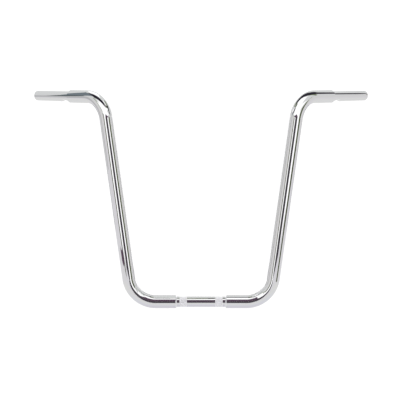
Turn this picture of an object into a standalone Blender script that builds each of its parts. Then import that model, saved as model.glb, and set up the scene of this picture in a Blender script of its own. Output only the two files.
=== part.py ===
"""Ape-hanger motorcycle handlebar: two bent 1-1/4 inch legs joined by a knurled 1 inch clamp tube,
with 1 inch grip tubes let into their upper ends.

Metres, +Z up. The origin is the middle of the clamp tube. +Y points back towards the rider, who holds
the grip on the +X side in the left hand. The straight part of both legs lies in the XZ plane.
"""

import math

import bmesh
import bpy
from mathutils import Matrix, Vector

# Tube stock
LEG_RADIUS = 0.031750 / 2
THIN_RADIUS = 0.025400 / 2
WALL = 0.00305

# Bar layout
CLAMP_LENGTH = 0.1270
CORNER_SPACING = 0.3444
RISE = 0.5080
LEAN = math.radians(7.3)
SWEEP = math.radians(40.0)
LOW_BEND_RADIUS = 0.0675
HIGH_BEND_RADIUS = 0.0580
STUB_LENGTH = 0.0604
GRIP_LENGTH = 0.1300
SPIGOT_LENGTH = 0.0380

# Details
KNURL_SPACING = 0.0889
KNURL_WIDTH = 0.0185
KNURL_PROUD = 0.00025
END_CHAMFER = 0.0012
DIMPLE_RADIUS = 0.0260
DIMPLE_DEPTH = 0.0048
DIMPLE_PLACE = 0.0200
WELD_LEG = 0.0033
WELD_TOE = 0.0003
PLUG_RADIUS = 0.0040
PLUG_PLACE = 0.0190
GAP = 0.0003
SLIP = 0.000125

# Facets
RING_SIDES = 32
BEND_STEPS = 9
DIMPLE_STEPS = 12
PLUG_SIDES = 20

X_AXIS = Vector((1, 0, 0))
Y_AXIS = Vector((0, 1, 0))
Z_AXIS = Vector((0, 0, 1))

# Stands a flat circle up to face along X, with its first point straight up
FACING_X = Matrix(((0, 0, 1, 0), (1, 0, 0, 0), (0, 1, 0, 0), (0, 0, 0, 1)))

# Directions and bend angles of the left-hand half, on the +X side
LEG_DIRECTION = Vector((math.sin(LEAN), 0, math.cos(LEAN)))
GRIP_DIRECTION = Vector((math.cos(SWEEP), math.sin(SWEEP), 0))
LOW_ANGLE = X_AXIS.angle(LEG_DIRECTION)
HIGH_ANGLE = LEG_DIRECTION.angle(GRIP_DIRECTION)
HIGH_AXIS = LEG_DIRECTION.cross(GRIP_DIRECTION).normalized()

# Corners where the straight centrelines would meet, and what each bend takes off them
LOW_CORNER = Vector((CORNER_SPACING / 2, 0, 0))
HIGH_CORNER = LOW_CORNER + LEG_DIRECTION * (RISE / math.cos(LEAN))
LOW_SETBACK = LOW_BEND_RADIUS * math.tan(LOW_ANGLE / 2)
HIGH_SETBACK = HIGH_BEND_RADIUS * math.tan(HIGH_ANGLE / 2)
LEG_END = HIGH_CORNER + GRIP_DIRECTION * (HIGH_SETBACK + STUB_LENGTH)

SIDES = {"left": 1, "right": -1}


def clear_scene():
    for item in list(bpy.data.objects):
        bpy.data.objects.remove(item, do_unlink=True)


def chrome(name, shade, roughness):
    """Decorative chrome plate: a bright metal with a faintly cool grey."""
    material = bpy.data.materials.new(name)
    material.use_nodes = True
    shader = material.node_tree.nodes["Principled BSDF"]
    shader.inputs["Base Color"].default_value = (shade, shade, shade * 1.02, 1)
    shader.inputs["Metallic"].default_value = 1.0
    shader.inputs["Roughness"].default_value = roughness
    return material


def add_object(name, bm, material, location=(0, 0, 0), turn=0.0):
    """The finished mesh as a named object, smooth on its round faces and sharp at its edges."""
    bmesh.ops.recalc_face_normals(bm, faces=bm.faces)
    mesh = bpy.data.meshes.new(name)
    bm.to_mesh(mesh)
    bm.free()
    mesh.shade_smooth()
    mesh.set_sharp_from_angle(angle=math.radians(30))
    mesh.materials.append(material)
    item = bpy.data.objects.new(name, mesh)
    item.location = location
    item.rotation_euler = (0, 0, turn)
    bpy.context.scene.collection.objects.link(item)
    return item


def lathe(points, start=Z_AXIS):
    """A turned ring from a closed outline of (place along X, radius), its first facet edge at start."""
    bm = bmesh.new()
    verts = [bm.verts.new(X_AXIS * along + start * radius) for along, radius in points]
    edges = [bm.edges.new(pair) for pair in zip(verts, verts[1:] + verts[:1])]
    bmesh.ops.spin(bm, geom=verts + edges, cent=(0, 0, 0), axis=X_AXIS, angle=math.tau,
                   steps=RING_SIDES, use_merge=True)
    return bm


def mirror_to_side(bm, side):
    """Turns a left-hand mesh into the right-hand one, on the -X side."""
    if side < 0:
        bmesh.ops.transform(bm, matrix=Matrix.Scale(-1, 4, X_AXIS), verts=bm.verts)


def edges_of(geometry):
    return [part for part in geometry if isinstance(part, bmesh.types.BMEdge)]


def push(bm, rims, travel):
    """Carries the open rims of a tube straight on."""
    made = bmesh.ops.extrude_edge_only(bm, edges=rims)["geom"]
    verts = [part for part in made if isinstance(part, bmesh.types.BMVert)]
    bmesh.ops.translate(bm, vec=travel, verts=verts)
    return edges_of(made)


def bend(bm, rims, centre, axis, angle):
    """Carries the open rims of a tube round a bend."""
    made = bmesh.ops.spin(bm, geom=rims, cent=centre, axis=axis, angle=angle, steps=BEND_STEPS)
    return edges_of(made["geom_last"])


def hole_cutter(name, location, turn):
    """A bar that drills both walls of a leg for its pair of plug welds. It isn't part of the bar."""
    bm = bmesh.new()
    bmesh.ops.create_cone(bm, cap_ends=True, segments=PLUG_SIDES, radius1=PLUG_RADIUS,
                          radius2=PLUG_RADIUS, depth=LEG_RADIUS * 3)
    cutter = add_object(name, bm, None, location, turn)
    cutter.hide_render = True
    cutter.display_type = "WIRE"
    return cutter


def plug_places(side):
    """The middle of each telescoped joint of one leg: (name, place on the tube's centreline, turn)."""
    clamp_end = Vector((CLAMP_LENGTH / 2 + PLUG_PLACE, 0, 0))
    grip_end = LEG_END - GRIP_DIRECTION * PLUG_PLACE
    for name, place in (("clamp", clamp_end), ("grip", grip_end)):
        yield name, Vector((side * place.x, place.y, place.z))


def clamp_tube(material):
    """Plain inside the legs and between the knurls, with the two knurled bands slightly proud."""
    half = CLAMP_LENGTH / 2 + SPIGOT_LENGTH
    outer = [(-half, THIN_RADIUS)]
    for middle in (-KNURL_SPACING / 2, KNURL_SPACING / 2):
        low, high = middle - KNURL_WIDTH / 2, middle + KNURL_WIDTH / 2
        outer += [(low, THIN_RADIUS), (low + KNURL_PROUD, THIN_RADIUS + KNURL_PROUD),
                  (high - KNURL_PROUD, THIN_RADIUS + KNURL_PROUD), (high, THIN_RADIUS)]
    outer.append((half, THIN_RADIUS))
    bore = [(half, THIN_RADIUS - WALL), (-half, THIN_RADIUS - WALL)]
    return add_object("clamp_tube", lathe(outer + bore), material)


def leg(name, side, material):
    """One length of 1-1/4 inch tube: clamp end, low bend, straight, high bend and swept-back stub."""
    bm = bmesh.new()
    start = X_AXIS * (CLAMP_LENGTH / 2)
    for radius, winding in ((LEG_RADIUS - WALL, -1), (LEG_RADIUS, 1)):
        placed = Matrix.Translation(start) @ FACING_X @ Matrix.Scale(winding, 4, X_AXIS)
        bmesh.ops.create_circle(bm, segments=RING_SIDES, radius=radius, matrix=placed)
    clamp_rims = bm.edges[:]
    low_start = LOW_CORNER - X_AXIS * LOW_SETBACK
    rims = push(bm, clamp_rims, low_start - start)
    rims = bend(bm, rims, low_start + Z_AXIS * LOW_BEND_RADIUS, -Y_AXIS, LOW_ANGLE)
    high_start = HIGH_CORNER - LEG_DIRECTION * HIGH_SETBACK
    rims = push(bm, rims, high_start - LOW_CORNER - LEG_DIRECTION * LOW_SETBACK)
    high_centre = high_start + HIGH_AXIS.cross(LEG_DIRECTION) * HIGH_BEND_RADIUS
    rims = bend(bm, rims, high_centre, HIGH_AXIS, HIGH_ANGLE)
    grip_rims = push(bm, rims, GRIP_DIRECTION * STUB_LENGTH)
    for open_end in (clamp_rims, grip_rims):
        bmesh.ops.bridge_loops(bm, edges=open_end)
    mirror_to_side(bm, side)
    item = add_object(name, bm, material)
    for joint, place in plug_places(side):
        cut = item.modifiers.new(joint + "_plug_holes", "BOOLEAN")
        cut.operation = "DIFFERENCE"
        cut.object = hole_cutter(f"{name}_{joint}_hole_cutter", place, 0)
    return item


def grip_facet_start(side):
    """Where the leg's first facet edge has turned to at its upper end, so the tubes' facets line up."""
    low = Matrix.Rotation(-LOW_ANGLE, 3, "Y")
    high = Matrix.Rotation(HIGH_ANGLE, 3, HIGH_AXIS)
    carried = Matrix.Rotation(-SWEEP, 3, "Z") @ high @ low @ Z_AXIS
    return Vector((0, side * carried.y, carried.z))


def grip_placement(side):
    """Location and turn of a mesh made along +X so that it starts at the leg's upper end."""
    location = (side * LEG_END.x, LEG_END.y, LEG_END.z)
    return location, SWEEP if side > 0 else math.pi - SWEEP


def press_dimple(bm):
    """Pushes the underside in with a round bar laid across it, keeping the wall's thickness."""
    for vert in bm.verts:
        along = abs(vert.co.x - DIMPLE_PLACE)
        if along >= DIMPLE_RADIUS:
            continue
        floor = DIMPLE_DEPTH - THIN_RADIUS - DIMPLE_RADIUS
        floor += math.sqrt(DIMPLE_RADIUS**2 - along**2)
        if math.hypot(vert.co.y, vert.co.z) < THIN_RADIUS - WALL / 2:
            floor += WALL
        vert.co.z = max(vert.co.z, floor)


def grip_tube(name, side, material):
    """1 inch tube with a spigot inside the leg, the wiring dimple, and a chamfered open end."""
    reach = math.sqrt(DIMPLE_RADIUS**2 - (DIMPLE_RADIUS - DIMPLE_DEPTH) ** 2)
    rings = [DIMPLE_PLACE + reach * (2 * step / DIMPLE_STEPS - 1) for step in range(DIMPLE_STEPS + 1)]
    outer = [(-SPIGOT_LENGTH, THIN_RADIUS)] + [(place, THIN_RADIUS) for place in rings]
    outer += [(GRIP_LENGTH - END_CHAMFER, THIN_RADIUS), (GRIP_LENGTH, THIN_RADIUS - END_CHAMFER)]
    bore = [(GRIP_LENGTH, THIN_RADIUS - WALL)] + [(place, THIN_RADIUS - WALL) for place in rings[::-1]]
    bore.append((-SPIGOT_LENGTH, THIN_RADIUS - WALL))
    bm = lathe(outer + bore, grip_facet_start(side))
    press_dimple(bm)
    location, turn = grip_placement(side)
    return add_object(name, bm, material, location, turn)


def dressed_weld(name, side, at_grip, material):
    """The ring of weld, ground to a 45 degree slope, that fills the step from a leg to a thin tube."""
    inner = THIN_RADIUS + SLIP
    outline = [(GAP, inner), (GAP, LEG_RADIUS), (GAP + WELD_LEG - WELD_TOE, inner + WELD_TOE),
               (GAP + WELD_LEG, inner)]
    if at_grip:
        location, turn = grip_placement(side)
        return add_object(name, lathe(outline, grip_facet_start(side)), material, location, turn)
    turn = math.pi if side > 0 else 0
    return add_object(name, lathe(outline), material, (side * CLAMP_LENGTH / 2, 0, 0), turn)


def plug_weld(name, place, up, material):
    """Weld that fills one drilled hole of a leg, down to the tube inside it."""
    low, high = THIN_RADIUS + GAP, LEG_RADIUS - SLIP
    bm = bmesh.new()
    bmesh.ops.create_cone(bm, cap_ends=True, segments=PLUG_SIDES, radius1=PLUG_RADIUS - GAP,
                          radius2=PLUG_RADIUS - GAP, depth=high - low,
                          matrix=Matrix.Translation(Z_AXIS * (up * (low + high) / 2)))
    return add_object(name, bm, material, place)


def main():
    clear_scene()
    bar = bpy.data.objects.new("handlebar", None)
    bpy.context.scene.collection.objects.link(bar)
    weld_chrome = chrome("weld_chrome", 0.78, 0.10)
    plug_chrome = chrome("plug_chrome", 0.78, 0.12)
    pieces = [clamp_tube(chrome("clamp_chrome", 0.80, 0.08))]
    leg_chrome = chrome("leg_chrome", 0.80, 0.05)
    grip_chrome = chrome("grip_chrome", 0.80, 0.07)
    for word, side in SIDES.items():
        pieces.append(leg(word + "_leg", side, leg_chrome))
        pieces.append(grip_tube(word + "_grip_tube", side, grip_chrome))
        pieces.append(dressed_weld(word + "_clamp_weld", side, False, weld_chrome))
        pieces.append(dressed_weld(word + "_grip_weld", side, True, weld_chrome))
        for joint, place in plug_places(side):
            for end, up in (("upper", 1), ("lower", -1)):
                name = f"{word}_{joint}_{end}_plug_weld"
                pieces.append(plug_weld(name, place, up, plug_chrome))
    for piece in pieces:
        piece.parent = bar


main()
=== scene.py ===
import math

import bmesh
import bpy
from mathutils import Matrix, Vector


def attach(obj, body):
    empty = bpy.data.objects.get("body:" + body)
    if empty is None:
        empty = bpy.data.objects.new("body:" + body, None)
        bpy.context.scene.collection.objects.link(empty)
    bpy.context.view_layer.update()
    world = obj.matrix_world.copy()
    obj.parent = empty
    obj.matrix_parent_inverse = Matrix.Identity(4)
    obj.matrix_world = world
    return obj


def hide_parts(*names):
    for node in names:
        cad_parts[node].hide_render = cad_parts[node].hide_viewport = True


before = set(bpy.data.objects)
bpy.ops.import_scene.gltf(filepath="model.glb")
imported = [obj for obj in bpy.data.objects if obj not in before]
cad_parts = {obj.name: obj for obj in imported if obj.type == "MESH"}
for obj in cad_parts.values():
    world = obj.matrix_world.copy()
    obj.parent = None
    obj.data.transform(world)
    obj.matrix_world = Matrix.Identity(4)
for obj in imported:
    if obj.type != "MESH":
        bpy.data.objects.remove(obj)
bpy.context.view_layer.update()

# Tube stock, as in the frame
LEG_RADIUS = 0.031750 / 2
THIN_RADIUS = 0.025400 / 2
WALL = 0.00305

# Bar layout
CLAMP_LENGTH = 0.1270
CORNER_SPACING = 0.3444
RISE = 0.5080
LEAN = math.radians(7.3)
SWEEP = math.radians(40.0)
LOW_BEND_RADIUS = 0.0675
HIGH_BEND_RADIUS = 0.0580
STUB_LENGTH = 0.0604
GRIP_LENGTH = 0.1300
SPIGOT_LENGTH = 0.0380

# Rolled diamond knurl
KNURL_SPACING = 0.0889
KNURL_WIDTH = 0.0185
KNURL_PITCH = 0.0012
KNURL_STRETCH = 1.5
KNURL_DEPTH = 0.00042
KNURL_PROUD = 0.00018

# Wiring dimple, measured from the step between the leg and the grip tube
DIMPLE_RADIUS = 0.0260
DIMPLE_DEPTH = 0.0048
DIMPLE_PLACE = 0.0200
DIMPLE_SOFTNESS = 0.0009

# Bar end, rounded outside and barely broken inside
END_ROUND = 0.0022
BORE_BREAK = 0.0004

# Welds. A plug's insets are shares of its radius, and past its crest it falls away
WELD_LEG = 0.0033
WELD_BITE = 0.0001
PLUG_RADIUS = 0.0040
PLUG_PLACE = 0.0190
PLUG_PROUD = 0.000015
PLUG_THICKNESS = 0.001
PLUG_INSETS = (0.04, 0.3, 0.5)
PLUG_CREST = 0.97

# Mesh fineness
RING_SIDES = 96
PLUG_SIDES = 48
BEND_STEP = math.radians(1.5)
DIMPLE_STEP = 0.0008
STUB_STEPS = 4
LEG_STEPS = 24
GRIP_STEPS = 8
ROUNDING_STEPS = 6
CREASE_ANGLE = math.radians(35)
ON_RING = 1e-6

X_AXIS = Vector((1, 0, 0))
Y_AXIS = Vector((0, 1, 0))
Z_AXIS = Vector((0, 0, 1))
FACING_X = Matrix(((0, 0, 1, 0), (1, 0, 0, 0), (0, 1, 0, 0), (0, 0, 0, 1)))

LEG_DIRECTION = Vector((math.sin(LEAN), 0, math.cos(LEAN)))
GRIP_DIRECTION = Vector((math.cos(SWEEP), math.sin(SWEEP), 0))
LOW_ANGLE = X_AXIS.angle(LEG_DIRECTION)
HIGH_ANGLE = LEG_DIRECTION.angle(GRIP_DIRECTION)
HIGH_AXIS = LEG_DIRECTION.cross(GRIP_DIRECTION).normalized()
LOW_CORNER = Vector((CORNER_SPACING / 2, 0, 0))
HIGH_CORNER = LOW_CORNER + LEG_DIRECTION * (RISE / math.cos(LEAN))
LOW_SETBACK = LOW_BEND_RADIUS * math.tan(LOW_ANGLE / 2)
HIGH_SETBACK = HIGH_BEND_RADIUS * math.tan(HIGH_ANGLE / 2)
LEG_END = HIGH_CORNER + GRIP_DIRECTION * (HIGH_SETBACK + STUB_LENGTH)

SIDES = {"left": 1, "right": -1}

# Chrome. The patterns follow the tube, and the stretch along it is below 1 for long marks
# and above 1 for marks that run round it
CHROME = (0.82, 0.82, 0.83, 1)
WELD_SHADE = (0.86, 0.86, 0.88, 1)
CLOUD_SCALE, CLOUD_STRETCH = 55.0, 0.35
RIPPLE_SCALE, RIPPLE_STRETCH = 90.0, 0.25
HAIR_SCALE, HAIR_STRETCH = 130.0, 22

# Satin knurl. Its grooves carry painted shade, darker and bluer the deeper they go, and it is
# flecked with grime
KNURL_CREST = (1.0, 1.0, 1.0, 1)
KNURL_GROOVE_DIRT_AND_SHADE = (0.84, 0.83, 0.88, 1)
KNURL_ROUGHNESS = 0.5
KNURL_GROOVE_SHADING = 0.5
SPECK_SCALE = 300.0
SPECK_GRIME = 0.3

# Bare steel in the bore. The plating carried in at the mouth ends unevenly
BORE_STEEL = (0.30, 0.27, 0.25, 1)
BORE_STAIN = (0.15, 0.09, 0.055, 1)
BORE_ROUGHNESS = 0.52
BORE_MARGIN = 0.0002
BLOTCH_SCALE = 260.0
PLATING_FADE = 160.0
PLATING_REACH = 0.6
PLATING_RAGGED = 0.8

# Camera, in front of the bar and a little above it
CAMERA_AIM = Vector((-0.0026, 0, 0.2568))
CAMERA_LIFT = math.radians(8)
CAMERA_DISTANCE = 2.19
CAMERA_LENS = 80.2
CAMERA_SENSOR = 36
CAMERA_REACH = 50

# Studio: a pale tent with white panels and dark gaps, seen only in the chrome
DAYLIGHT = 1.15
FLOOR_HEIGHT = -0.35
FLOOR_REACH = 30
FLOOR_SHADE = (0.9, 0.9, 0.9, 1)
FLOOR_ROUGHNESS = 0.9
TENT_RADIUS = 6.0
TENT_FINENESS = 5
TENT_SHADES = [(0.0, (0.74, 0.71, 0.78)), (0.10, (0.79, 0.80, 0.84)), (0.26, (0.82, 0.82, 0.80)),
               (0.40, (0.78, 0.77, 0.80)), (0.50, (0.76, 0.75, 0.74)), (0.72, (0.74, 0.75, 0.75)),
               (1.0, (0.80, 0.82, 0.80))]
WHITE = (1.27, 1.27, 1.27)
PLUM = (0.115, 0.075, 0.112)
SOOT = (0.07, 0.062, 0.073)
OLIVE = (0.13, 0.20, 0.015)
THYME = (0.10, 0.125, 0.06)
BROWN = (0.075, 0.085, 0.035)
INK = (0.028, 0.025, 0.036)
SLATE = (0.19, 0.225, 0.25)
PEWTER = (0.11, 0.13, 0.135)
STONE = (0.33, 0.31, 0.30)
MOSS = (0.22, 0.26, 0.17)
FERN = (0.10, 0.115, 0.07)
ASH = (0.55, 0.55, 0.56)

# Each card's name, the two ends of its middle line, its half width at the start, how many times
# as wide it is at the end, and its shade
CARDS = [
    ("gap", (0.17, -1.36, -0.20), (0.17, -1.36, 0.56), (0.44, 0, 0), 0.92, SOOT),
    ("lintel", (0.13, -1.355, 0.56), (-0.005, -0.37, 0.56), (0.36, 0, 0), 0.47, PLUM),
    ("left_panel", (-0.70, -2.01, -0.34), (-0.70, -2.01, 0.92), (0.80, 0, 0), 1, WHITE),
    ("right_panel", (1.05, -2.02, -0.34), (1.05, -2.02, 0.92), (1.05, 0, 0), 1, WHITE),
    ("ceiling_far", (0.10, -2.02, 0.92), (0.10, -0.50, 0.92), (1.10, 0, 0), 1, WHITE),
    ("ceiling_left", (-0.25, -0.50, 0.92), (-0.25, 0.0, 0.92), (0.25, 0, 0), 1, WHITE),
    ("ceiling_right", (0.22, -0.50, 0.92), (0.22, 0.05, 0.92), (0.22, 0, 0), 1, WHITE),
    ("ceiling_back", (-0.36, 0.135, 0.71), (-0.19, 0.135, 0.71), (0, 0.12, 0), 1, WHITE),
    ("left_post", (-1.20, -1.75, -0.50), (-1.20, -1.75, 0.70), (0.19, -0.13, 0), 1, BROWN),
    ("left_foot", (-1.19, -1.74, -0.385), (-2.10, -0.68, -0.51), (0, 0, 0.04), 1, PLUM),
    ("left_rail", (-1.20, -1.75, 0.70), (-0.85, -0.75, 0.70), (0.06, 0, 0), 0.7, OLIVE),
    ("left_rail_near", (-0.85, -0.75, 0.70), (-0.50, -0.12, 0.70), (0.04, 0, 0), 0.7, OLIVE),
    ("right_post", (4.40, -2.35, -0.45), (4.40, -2.35, 1.4), (0.48, 0.90, 0), 1, THYME),
    ("right_post_foot", (4.40, -2.35, -1.8), (4.40, -2.35, -0.45), (0.48, 0.90, 0), 1, BROWN),
    ("right_post_near", (2.35, -1.90, -0.56), (2.35, -1.90, 0.70), (0.12, 0.15, 0), 1, BROWN),
    ("right_rail", (4.40, -2.35, 1.4), (0.75, -0.10, 0.70), (0, 0.25, 0), 0.12, OLIVE),
    ("right_rail_far", (0.42, -0.01, 0.89), (1.25, -0.04, 0.89), (0, 0.055, 0), 1, MOSS),
    ("left_bar_far", (-3.20, 0.05, 0.70), (-0.95, 0.045, 0.70), (0, 0.065, 0), 1, PEWTER),
    ("left_bar", (-0.95, 0.035, 0.70), (-0.42, 0.035, 0.70), (0, 0.07, 0), 1.45, SLATE),
    ("left_band", (-0.42, -0.02, 0.70), (-0.265, -0.065, 0.70), (0, 0.085, 0), 0.85, INK),
    ("left_band_near", (-0.265, -0.065, 0.70), (-0.10, -0.10, 0.70), (0, 0.072, 0), 1.0, INK),
    ("left_band_end", (-0.10, -0.10, 0.70), (-0.02, -0.08, 0.70), (0, 0.07, 0), 1.0, STONE),
    ("middle_rail_left", (-0.02, -0.04, 0.70), (0.08, 0.0, 0.70), (0, 0.07, 0), 0.8, FERN),
    ("middle_rail_right", (-0.08, 0.17, 0.70), (0.03, 0.17, 0.70), (0, 0.10, 0), 1, MOSS),
    ("right_band_end", (0.03, 0.16, 0.70), (0.20, 0.11, 0.70), (0, 0.11, 0), 0.9, INK),
    ("right_band_near", (0.20, 0.11, 0.70), (0.30, 0.045, 0.70), (0, 0.10, 0), 0.7, INK),
    ("right_band", (0.30, 0.045, 0.70), (0.41, 0.06, 0.70), (0, 0.07, 0), 1, INK),
    ("right_bar", (0.41, 0.06, 0.70), (0.52, 0.095, 0.70), (0, 0.07, 0), 1.1, INK),
    ("right_bar_out", (0.52, 0.095, 0.70), (0.62, 0.16, 0.70), (0, 0.077, 0), 0.8, SOOT),
    ("right_bar_far", (0.62, 0.16, 0.70), (0.80, 0.215, 0.70), (0, 0.062, 0), 0.7, SOOT),
    ("right_bar_end", (0.80, 0.235, 0.70), (2.40, 0.40, 0.70), (0, 0.03, 0), 1, STONE),
    ("left_wall", (-3.3, 0.05, -0.35), (-3.3, 0.05, 0.88), (0, 0.60, 0), 1, ASH),
    ("back_gap", (0.0, 2.60, -0.34), (0.0, 2.60, 0.70), (0.42, 0, 0), 1, SOOT),
    ("back_left_panel", (-1.15, 2.60, -0.34), (-1.15, 2.60, 0.70), (0.70, 0, 0), 1, WHITE),
    ("back_right_panel", (1.15, 2.60, -0.34), (1.15, 2.60, 0.70), (0.70, 0, 0), 1, WHITE),
    ("back_left_post", (-2.10, 2.00, -0.5), (-2.10, 2.00, 0.70), (0.20, 0.16, 0), 1, PEWTER),
    ("back_right_post", (2.10, 2.00, -0.5), (2.10, 2.00, 0.70), (0.20, -0.16, 0), 1, PEWTER),
]


class Tube:
    """A tube grown along its centreline. Every point remembers, in the attribute "straight",
    where it would lie if the tube were straight, so that polish marks follow the bends."""

    def __init__(self, radii, start, sides=RING_SIDES):
        self.bm = bmesh.new()
        self.straight = self.bm.verts.layers.float_vector.new("straight")
        self.travelled = 0.0
        for radius, winding in zip(radii, (-1, 1)):
            placed = Matrix.Translation(start) @ FACING_X @ Matrix.Scale(winding, 4, X_AXIS)
            bmesh.ops.create_circle(self.bm, segments=sides, radius=radius, matrix=placed)
        for vert in self.bm.verts:
            offset = vert.co - start
            vert[self.straight] = (offset.y, offset.z, 0)
        self.near_end = self.bm.edges[:]
        self.rims = self.near_end

    def _reached(self, geometry, length):
        """Notes how far along the tube its newest ring lies."""
        self.travelled += length
        self.rims = [part for part in geometry if isinstance(part, bmesh.types.BMEdge)]
        for vert in {vert for edge in self.rims for vert in edge.verts}:
            across = vert[self.straight]
            vert[self.straight] = (across.x, across.y, self.travelled)

    def push(self, travel, steps=1):
        for _ in range(steps):
            made = bmesh.ops.extrude_edge_only(self.bm, edges=self.rims)["geom"]
            verts = [part for part in made if isinstance(part, bmesh.types.BMVert)]
            bmesh.ops.translate(self.bm, vec=travel / steps, verts=verts)
            self._reached(made, travel.length / steps)

    def bend(self, centre, axis, angle, radius):
        steps = math.ceil(angle / BEND_STEP)
        for _ in range(steps):
            made = bmesh.ops.spin(self.bm, geom=self.rims, cent=centre, axis=axis,
                                  angle=angle / steps, steps=1)
            self._reached(made["geom_last"], radius * angle / steps)

    def close_ends(self):
        for open_end in (self.near_end, self.rims):
            bmesh.ops.bridge_loops(self.bm, edges=open_end)
        return self.bm


def finish_piece(name, bm, material, node, side=1):
    """Makes the mesh a named piece of the bar, standing for its CAD node. Pieces are shaped on
    the bar's left, and the right half is mirrored."""
    if side < 0:
        bmesh.ops.transform(bm, matrix=Matrix.Scale(-1, 4, X_AXIS), verts=bm.verts)
    bmesh.ops.recalc_face_normals(bm, faces=bm.faces)
    mesh = bpy.data.meshes.new(name)
    bm.to_mesh(mesh)
    bm.free()
    mesh.shade_smooth()
    mesh.set_sharp_from_angle(angle=CREASE_ANGLE)
    mesh.materials.append(material)
    piece = bpy.data.objects.new(name, mesh)
    bpy.context.scene.collection.objects.link(piece)
    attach(piece, "root")
    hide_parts(node)


def make_leg(word, side, material):
    tube = Tube((LEG_RADIUS - WALL, LEG_RADIUS), X_AXIS * (CLAMP_LENGTH / 2))
    low_start = LOW_CORNER - X_AXIS * LOW_SETBACK
    tube.push(low_start - X_AXIS * (CLAMP_LENGTH / 2), steps=STUB_STEPS)
    tube.bend(low_start + Z_AXIS * LOW_BEND_RADIUS, -Y_AXIS, LOW_ANGLE, LOW_BEND_RADIUS)
    low_end = LOW_CORNER + LEG_DIRECTION * LOW_SETBACK
    high_start = HIGH_CORNER - LEG_DIRECTION * HIGH_SETBACK
    tube.push(high_start - low_end, steps=LEG_STEPS)
    high_centre = high_start + HIGH_AXIS.cross(LEG_DIRECTION) * HIGH_BEND_RADIUS
    tube.bend(high_centre, HIGH_AXIS, HIGH_ANGLE, HIGH_BEND_RADIUS)
    tube.push(GRIP_DIRECTION * STUB_LENGTH, steps=STUB_STEPS)
    node = word + "_leg"
    finish_piece(node + "_chrome", tube.close_ends(), material, node, side)


def make_clamp_tube(material):
    """Plain 1 inch tube with two bands of diamond knurl. The rings of a band zigzag in and out."""
    half = CLAMP_LENGTH / 2 + SPIGOT_LENGTH
    columns = 2 * round(math.tau * THIN_RADIUS / KNURL_PITCH)
    rows = 2 * round(KNURL_WIDTH / (KNURL_PITCH * KNURL_STRETCH))
    tube = Tube((THIN_RADIUS - WALL, THIN_RADIUS), X_AXIS * -half, columns)
    band_starts = []
    reached = -half
    for middle in (-KNURL_SPACING / 2, KNURL_SPACING / 2):
        low = middle - KNURL_WIDTH / 2
        tube.push(X_AXIS * (low - reached))
        tube.push(X_AXIS * KNURL_WIDTH, steps=rows)
        reached = low + KNURL_WIDTH
        band_starts.append(low)
    tube.push(X_AXIS * (half - reached))
    bm = tube.close_ends()
    for low in band_starts:
        cut_knurl(bm, low, rows, columns)
    finish_piece("clamp_tube_chrome", bm, material, "clamp_tube")


def cut_knurl(bm, low, rows, columns):
    """Raises every other point of a band into a diamond and creases the grooves between them."""
    valleys = []
    for vert in bm.verts:
        row = (vert.co.x - low) / KNURL_WIDTH * rows
        radius = math.hypot(vert.co.y, vert.co.z)
        if radius < THIN_RADIUS - WALL / 2 or not 0.5 < row < rows - 0.5:
            continue
        turn = math.atan2(vert.co.y, vert.co.z) / math.tau * columns
        raised = (round(row) + round(turn)) % 2
        if not raised:
            valleys.append(vert)
        lift = KNURL_PROUD if raised else KNURL_PROUD - KNURL_DEPTH
        grow = (THIN_RADIUS + lift) / radius
        vert.co = (vert.co.x, vert.co.y * grow, vert.co.z * grow)
    bmesh.ops.connect_verts(bm, verts=valleys)


def soft_max(value, floor, softness):
    """The larger of two heights, with the crease between them rounded."""
    share = max(softness - abs(value - floor), 0) / softness
    return max(value, floor) + share * share * softness / 4


def press_dimple(bm):
    """Pushes the underside in with a round bar laid across it, keeping the wall's thickness."""
    for vert in bm.verts:
        along = abs(vert.co.x - DIMPLE_PLACE)
        if along >= DIMPLE_RADIUS or vert.co.z > 0:
            continue
        floor = DIMPLE_DEPTH - THIN_RADIUS - DIMPLE_RADIUS
        floor += math.sqrt(DIMPLE_RADIUS**2 - along**2)
        if math.hypot(vert.co.y, vert.co.z) < THIN_RADIUS - WALL / 2:
            floor += WALL
        vert.co.z = soft_max(vert.co.z, floor, DIMPLE_SOFTNESS)


def rim_edges(bm, along, radius):
    """The edges of the ring at this place along X and this radius."""
    def on_ring(vert):
        return (abs(vert.co.x - along) < ON_RING
                and abs(math.hypot(vert.co.y, vert.co.z) - radius) < ON_RING)
    return [edge for edge in bm.edges if all(on_ring(vert) for vert in edge.verts)]


def to_leg_end(bm):
    """Moves a mesh made along X to the left leg's upper end."""
    turn = Matrix.Rotation(SWEEP, 4, "Z")
    bmesh.ops.transform(bm, matrix=Matrix.Translation(LEG_END) @ turn, verts=bm.verts)


def make_grip_tube(word, side, material):
    tube = Tube((THIN_RADIUS - WALL, THIN_RADIUS), X_AXIS * -SPIGOT_LENGTH)
    reach = math.sqrt(DIMPLE_RADIUS**2 - (DIMPLE_RADIUS - DIMPLE_DEPTH) ** 2) + DIMPLE_SOFTNESS
    tube.push(X_AXIS * (SPIGOT_LENGTH + DIMPLE_PLACE - reach))
    tube.push(X_AXIS * (2 * reach), steps=math.ceil(2 * reach / DIMPLE_STEP))
    tube.push(X_AXIS * (GRIP_LENGTH - DIMPLE_PLACE - reach), steps=GRIP_STEPS)
    bm = tube.close_ends()
    for radius, width in ((THIN_RADIUS, END_ROUND), (THIN_RADIUS - WALL, BORE_BREAK)):
        bmesh.ops.bevel(bm, geom=rim_edges(bm, GRIP_LENGTH, radius), offset=width,
                        segments=ROUNDING_STEPS, profile=0.5, affect="EDGES", material=-1)
    for vert in bm.verts:
        vert[tube.straight] = (vert.co.y, vert.co.z, vert.co.x + SPIGOT_LENGTH)
    press_dimple(bm)
    to_leg_end(bm)
    node = word + "_grip_tube"
    finish_piece(node + "_chrome", bm, material, node, side)


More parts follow.
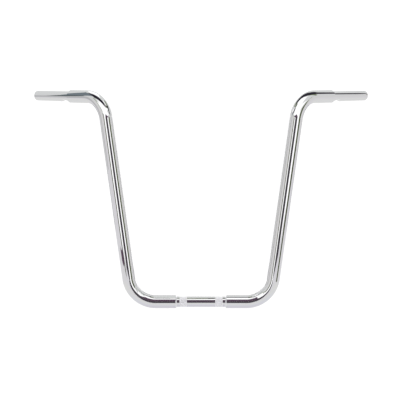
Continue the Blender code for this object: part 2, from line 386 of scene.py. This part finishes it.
def make_weld(word, side, at_grip, material):
    """A ring of weld ground to a 45 degree slope. Its edges bite a little into both tubes."""
    outline = [(-WELD_BITE, THIN_RADIUS - WELD_BITE), (-WELD_BITE, LEG_RADIUS),
               (0, LEG_RADIUS), (WELD_LEG, THIN_RADIUS), (WELD_LEG, THIN_RADIUS - WELD_BITE)]
    bm = bmesh.new()
    straight = bm.verts.layers.float_vector.new("straight")
    verts = [bm.verts.new(X_AXIS * along + Z_AXIS * radius) for along, radius in outline]
    edges = [bm.edges.new(pair) for pair in zip(verts, verts[1:] + verts[:1])]
    bmesh.ops.spin(bm, geom=verts + edges, cent=(0, 0, 0), axis=X_AXIS, angle=math.tau,
                   steps=RING_SIDES, use_merge=True)
    for vert in bm.verts:
        vert[straight] = (vert.co.y, vert.co.z, vert.co.x)
    if at_grip:
        to_leg_end(bm)
    else:
        place = Matrix.Translation(X_AXIS * (CLAMP_LENGTH / 2)) @ Matrix.Rotation(math.pi, 4, "Z")
        bmesh.ops.transform(bm, matrix=place, verts=bm.verts)
    node = word + ("_grip_weld" if at_grip else "_clamp_weld")
    finish_piece(node + "_chrome", bm, material, node, side)


def make_plug(word, side, joint, end, material):
    """Weld in a drilled hole, dressed to the tube's own curve so that only a faint ring is left."""
    bm = bmesh.new()
    straight = bm.verts.layers.float_vector.new("straight")
    bmesh.ops.create_circle(bm, segments=PLUG_SIDES, radius=PLUG_RADIUS, cap_ends=True)
    for share in PLUG_INSETS:
        face = max(bm.faces, key=lambda item: len(item.verts))
        bmesh.ops.inset_region(bm, faces=[face], thickness=PLUG_RADIUS * share)
    for vert in bm.verts:
        across = vert.co.y
        crest = vert.co.xy.length < PLUG_RADIUS * PLUG_CREST
        proud = PLUG_PROUD if crest else -PLUG_PROUD
        vert.co.z = math.sqrt((LEG_RADIUS + proud) ** 2 - across**2)
    made = bmesh.ops.extrude_face_region(bm, geom=bm.faces[:])["geom"]
    verts = [part for part in made if isinstance(part, bmesh.types.BMVert)]
    bmesh.ops.translate(bm, vec=Z_AXIS * -PLUG_THICKNESS, verts=verts)
    for vert in bm.verts:
        vert[straight] = (vert.co.y, vert.co.z, vert.co.x)
    if end == "lower":
        bmesh.ops.transform(bm, matrix=Matrix.Rotation(math.pi, 4, "X"), verts=bm.verts)
    if joint == "clamp":
        bmesh.ops.translate(bm, vec=X_AXIS * (CLAMP_LENGTH / 2 + PLUG_PLACE), verts=bm.verts)
    else:
        bmesh.ops.translate(bm, vec=X_AXIS * -PLUG_PLACE, verts=bm.verts)
        to_leg_end(bm)
    node = f"{word}_{joint}_{end}_plug_weld"
    finish_piece(node + "_chrome", bm, material, node, side)


class Signal:
    """A shader socket that can be used in sums, so that a pattern reads as a formula."""

    def __init__(self, sheet, socket):
        self.sheet = sheet
        self.socket = socket

    def _math(self, operation, *values):
        return self.sheet.node("ShaderNodeMath", dict(operation=operation),
                               dict(enumerate(values)))

    def __add__(self, other):
        return self._math("ADD", self, other)

    def __mul__(self, other):
        return self._math("MULTIPLY", self, other)

    def __sub__(self, other):
        return self._math("SUBTRACT", self, other)

    def __rsub__(self, other):
        return self._math("SUBTRACT", other, self)

    def __lt__(self, other):
        return self._math("LESS_THAN", self, other)

    def __gt__(self, other):
        return self._math("GREATER_THAN", self, other)

    def __abs__(self):
        return self._math("ABSOLUTE", self)

    __radd__ = __add__
    __rmul__ = __mul__


def set_stops(ramp, stops):
    """Gives a colour ramp these stops, each a position and a shade, from low to high."""
    while len(ramp.elements) > 1:
        ramp.elements.remove(ramp.elements[-1])
    ramp.elements[0].position = stops[0][0]
    ramp.elements[0].color = (*stops[0][1], 1)
    for position, shade in stops[1:]:
        ramp.elements.new(position).color = (*shade, 1)


class Sheet:
    """The node tree of one material or world, with one method that adds any node."""

    def __init__(self, owner):
        owner.use_nodes = True
        self.tree = owner.node_tree
        self.tree.nodes.clear()

    def node(self, kind, settings=None, sockets=None, output=0):
        """Adds a node, sets it, then gives its sockets their values or links. Returns one of its
        outputs as a signal."""
        made = self.tree.nodes.new(kind)
        for name, value in (settings or {}).items():
            if name == "stops":
                set_stops(made.color_ramp, value)
            else:
                setattr(made, name, value)
        for name, value in (sockets or {}).items():
            self.feed(made.inputs[name], value)
        return Signal(self, made.outputs[output]) if made.outputs else made

    def feed(self, socket, value):
        if isinstance(value, Signal):
            self.tree.links.new(value.socket, socket)
        else:
            socket.default_value = value

    def on_piece(self):
        """Where a point lies in the bar's own frame."""
        return self.node("ShaderNodeTexCoord", output=3)

    def on_straight_tube(self):
        """Where a point would lie if its tube were straight. Z is the way along the tube."""
        return self.node("ShaderNodeAttribute", dict(attribute_name="straight"), output=1)

    def scaled(self, place, factors):
        return self.node("ShaderNodeMapping", sockets={"Vector": place, "Scale": factors})

    def component(self, place, axis):
        return self.node("ShaderNodeSeparateXYZ", sockets={"Vector": place}, output=axis)

    def length(self, place):
        return self.node("ShaderNodeVectorMath", dict(operation="LENGTH"), {0: place}, output=1)

    def blend(self, share, first, second):
        return self.node("ShaderNodeMix", dict(data_type="RGBA"), {0: share, 6: first, 7: second},
                         output=2)

    def noise(self, place, scale, detail=2.0, roughness=0.5):
        return self.node("ShaderNodeTexNoise", sockets={
            "Vector": place, "Scale": scale, "Detail": detail, "Roughness": roughness})


def chrome_material(name, shade, roughness, clouding, wave_depth, hair_depth, worn=None):
    """Decorative chrome: a mirror with the faint ripple of buffing under it and hairline wear.
    worn gives how far another finish has taken over at each point, its shade and its roughness."""
    material = bpy.data.materials.new(name)
    sheet = Sheet(material)
    place = sheet.on_straight_tube()
    clouds = sheet.noise(sheet.scaled(place, (1, 1, CLOUD_STRETCH)), CLOUD_SCALE, 3.0, 0.6)
    ripple = sheet.noise(sheet.scaled(place, (1, 1, RIPPLE_STRETCH)), RIPPLE_SCALE, 1.0)
    hairs = sheet.noise(sheet.scaled(place, (1, 1, HAIR_STRETCH)), HAIR_SCALE, 3.0, 0.7)
    height = ripple * wave_depth + hairs * hair_depth
    bump = sheet.node("ShaderNodeBump", sockets={
        "Strength": 1.0, "Distance": 1.0, "Height": height})
    gloss = roughness + clouds * clouding
    if worn:
        share, other_shade, other_roughness = worn(sheet)
        shade = sheet.blend(share, shade, other_shade)
        gloss = gloss + share * (other_roughness - gloss)
    shader = sheet.node("ShaderNodeBsdfPrincipled", sockets={
        "Base Color": shade, "Metallic": 1.0, "Roughness": gloss, "Normal": bump})
    sheet.node("ShaderNodeOutputMaterial", sockets={"Surface": shader})
    return material


def knurled(sheet):
    """Satin crests and grooves darkened by painted shade that grows with their depth, flecked with
    grime specks, only on the two bands.
    """
    place = sheet.on_piece()
    from_middle = abs(sheet.component(place, 0))
    on_band = abs(from_middle - KNURL_SPACING / 2) < KNURL_WIDTH / 2
    radius = sheet.length(sheet.scaled(place, (0, 1, 1)))
    depth = (THIN_RADIUS + KNURL_PROUD - radius) * (1 / KNURL_DEPTH)
    # Painted shade: the deeper a point lies in a groove, the darker and bluer it is painted. The
    # noise adds grime specks.
    grime_and_shade = sheet.noise(place, SPECK_SCALE) * SPECK_GRIME + depth * KNURL_GROOVE_SHADING
    tint = sheet.blend(grime_and_shade, KNURL_CREST, KNURL_GROOVE_DIRT_AND_SHADE)
    return on_band, tint, KNURL_ROUGHNESS


def bare_bore(sheet):
    """Bare brownish steel in the bore, with a little plating carried in at its mouth."""
    place = sheet.on_straight_tube()
    radius = sheet.length(sheet.scaled(place, (1, 1, 0)))
    inside = radius < THIN_RADIUS - WALL + BORE_MARGIN
    blotches = sheet.noise(place, BLOTCH_SCALE, 4.0, 0.65)
    from_mouth = SPIGOT_LENGTH + GRIP_LENGTH - sheet.component(place, 2)
    faded = from_mouth * PLATING_FADE + blotches * PLATING_RAGGED - PLATING_REACH
    bare = sheet.node("ShaderNodeClamp", sockets={"Value": faded})
    tint = sheet.blend(blotches, BORE_STEEL, BORE_STAIN)
    return inside * bare, tint, BORE_ROUGHNESS


def make_camera():
    data = bpy.data.cameras.new("camera")
    data.lens = CAMERA_LENS
    data.sensor_width = CAMERA_SENSOR
    data.clip_end = CAMERA_REACH
    camera = bpy.data.objects.new("camera", data)
    away = Vector((0, -math.cos(CAMERA_LIFT), math.sin(CAMERA_LIFT)))
    camera.location = CAMERA_AIM + away * CAMERA_DISTANCE
    camera.rotation_euler = (math.pi / 2 - CAMERA_LIFT, 0, 0)
    bpy.context.scene.collection.objects.link(camera)
    bpy.context.scene.camera = camera


def stage_only(obj, glossy=True):
    """Makes it part of the studio. What the chrome mirrors is seen in the chrome and nowhere
    else, and the floor everywhere but in the chrome."""
    if glossy:
        for kind in ("camera", "diffuse", "transmission", "volume_scatter", "shadow"):
            setattr(obj, "visible_" + kind, False)
    else:
        obj.visible_glossy = False


def studio_object(name, bm, material):
    mesh = bpy.data.meshes.new(name)
    bm.to_mesh(mesh)
    bm.free()
    mesh.materials.append(material)
    made = bpy.data.objects.new(name, mesh)
    bpy.context.scene.collection.objects.link(made)
    return made


def give_light(sheet, shade):
    light = sheet.node("ShaderNodeEmission", sockets={"Color": shade, "Strength": 1.0})
    sheet.node("ShaderNodeOutputMaterial", sockets={"Surface": light})


def make_card(name, start, end, across, taper, shade):
    """A flat strip of card from one point to another, reaching this far to both sides of its
    middle, and at its end this many times as far."""
    material = bpy.data.materials.new(name)
    give_light(Sheet(material), (*shade, 1))
    start, end, across = Vector(start), Vector(end), Vector(across)
    bm = bmesh.new()
    corners = [start - across, start + across, end + across * taper, end - across * taper]
    bm.faces.new([bm.verts.new(corner) for corner in corners])
    stage_only(studio_object(name, bm, material))


def make_tent():
    """A pale tent all round, a little darker at the sides and faintly lilac below."""
    material = bpy.data.materials.new("tent")
    sheet = Sheet(material)
    height = sheet.component(sheet.on_piece(), 2) * (0.5 / TENT_RADIUS) + 0.5
    give_light(sheet, sheet.node("ShaderNodeValToRGB", dict(stops=TENT_SHADES), {"Fac": height}))
    bm = bmesh.new()
    bmesh.ops.create_icosphere(bm, subdivisions=TENT_FINENESS, radius=TENT_RADIUS)
    stage_only(studio_object("tent", bm, material))


def make_floor():
    material = bpy.data.materials.new("pale_floor")
    sheet = Sheet(material)
    shader = sheet.node("ShaderNodeBsdfPrincipled", sockets={
        "Base Color": FLOOR_SHADE, "Roughness": FLOOR_ROUGHNESS})
    sheet.node("ShaderNodeOutputMaterial", sockets={"Surface": shader})
    bm = bmesh.new()
    bmesh.ops.create_grid(bm, x_segments=1, y_segments=1, size=FLOOR_REACH,
                          matrix=Matrix.Translation(Z_AXIS * FLOOR_HEIGHT))
    stage_only(studio_object("floor", bm, material), glossy=False)


def make_studio():
    world = bpy.data.worlds.new("studio")
    bpy.context.scene.world = world
    sheet = Sheet(world)
    light = sheet.node("ShaderNodeBackground", sockets={
        "Color": (1, 1, 1, 1), "Strength": DAYLIGHT})
    sheet.node("ShaderNodeOutputWorld", sockets={"Surface": light})
    make_floor()
    make_tent()
    for card in CARDS:
        make_card(*card)


def main():
    make_camera()
    make_studio()
    leg_chrome = chrome_material("leg_chrome", CHROME, roughness=0.02, clouding=0.02,
                                 wave_depth=2e-6, hair_depth=1e-7)
    grip_chrome = chrome_material("grip_chrome", CHROME, roughness=0.025, clouding=0.03,
                                  wave_depth=2e-6, hair_depth=2e-7, worn=bare_bore)
    clamp_chrome = chrome_material("clamp_chrome", CHROME, roughness=0.025, clouding=0.03,
                                   wave_depth=2e-6, hair_depth=2e-7, worn=knurled)
    weld_chrome = chrome_material("weld_chrome", WELD_SHADE, roughness=0.06, clouding=0.06,
                                  wave_depth=3e-5, hair_depth=3e-7)
    plug_chrome = chrome_material("plug_chrome", CHROME, roughness=0.03, clouding=0.04,
                                  wave_depth=4e-6, hair_depth=2e-7)
    for word, side in SIDES.items():
        make_leg(word, side, leg_chrome)
        make_grip_tube(word, side, grip_chrome)
        make_weld(word, side, False, weld_chrome)
        make_weld(word, side, True, weld_chrome)
        for joint in ("clamp", "grip"):
            for end in ("upper", "lower"):
                make_plug(word, side, joint, end, plug_chrome)
    make_clamp_tube(clamp_chrome)
    bpy.context.scene.view_settings.view_transform = "Standard"


main()
